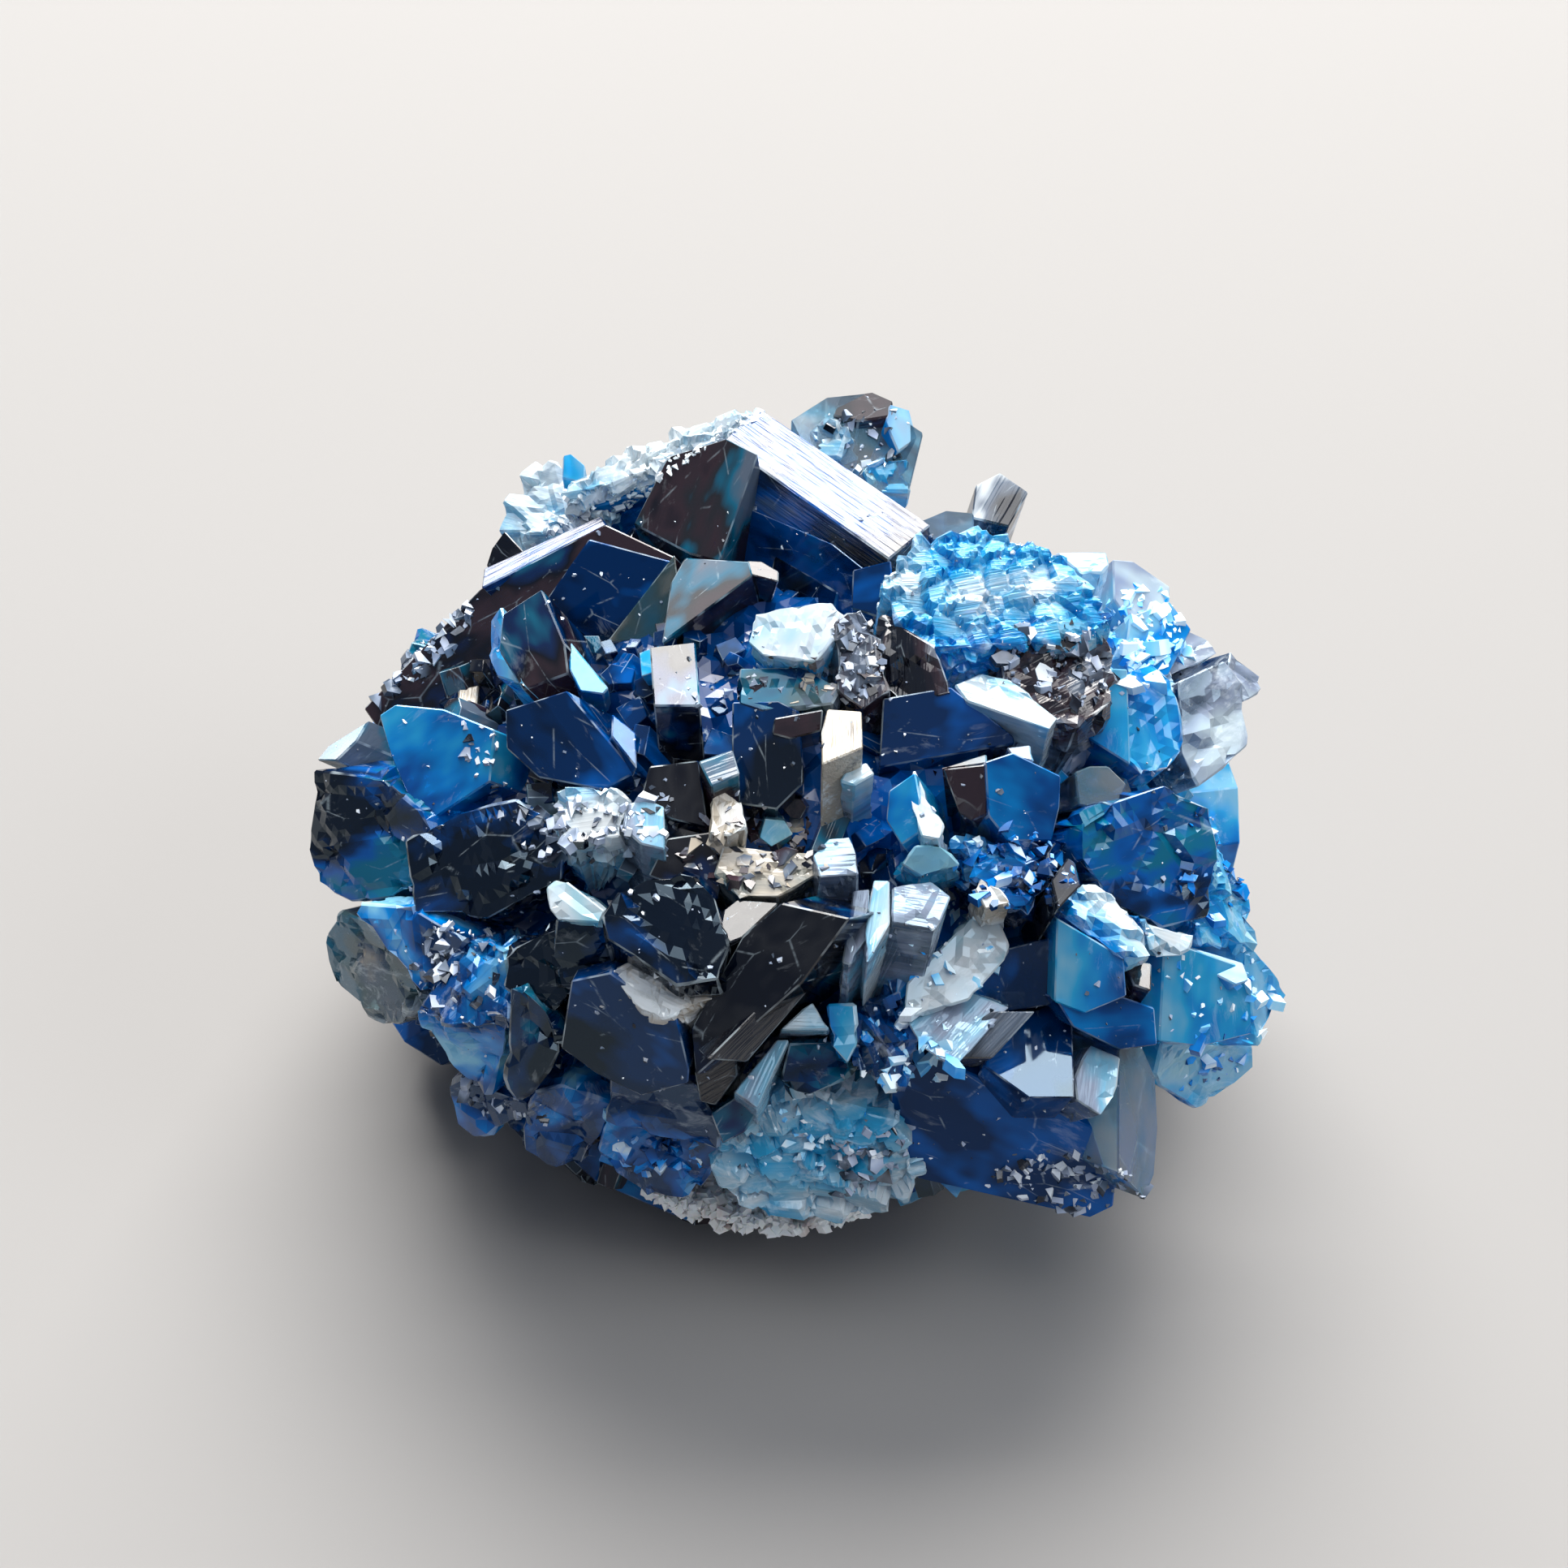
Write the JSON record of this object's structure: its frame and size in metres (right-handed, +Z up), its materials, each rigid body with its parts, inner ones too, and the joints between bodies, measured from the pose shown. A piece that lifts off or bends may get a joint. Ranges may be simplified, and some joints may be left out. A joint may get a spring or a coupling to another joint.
{
  "type": "euclase crystal cluster",
  "caption": "Cluster of intergrown blue euclase crystals with a flat cut base and a white matrix crust under its front rim.",
  "frame": {"origin": "middle of the bounding box, on the plane of the cut base", "axes": "+X to the right and +Y to the back, seen from the side with the matrix crust; +Z up"},
  "size_m": [0.0701, 0.0608, 0.048],
  "materials": {
    "euclase": "blue to navy clear crystal with bright natural faces",
    "matrix": "white granular crust"
  },
  "bodies": {
    "root": {"crystal_cluster": "euclase", "white_matrix": "matrix"}
  },
  "joints": []
}
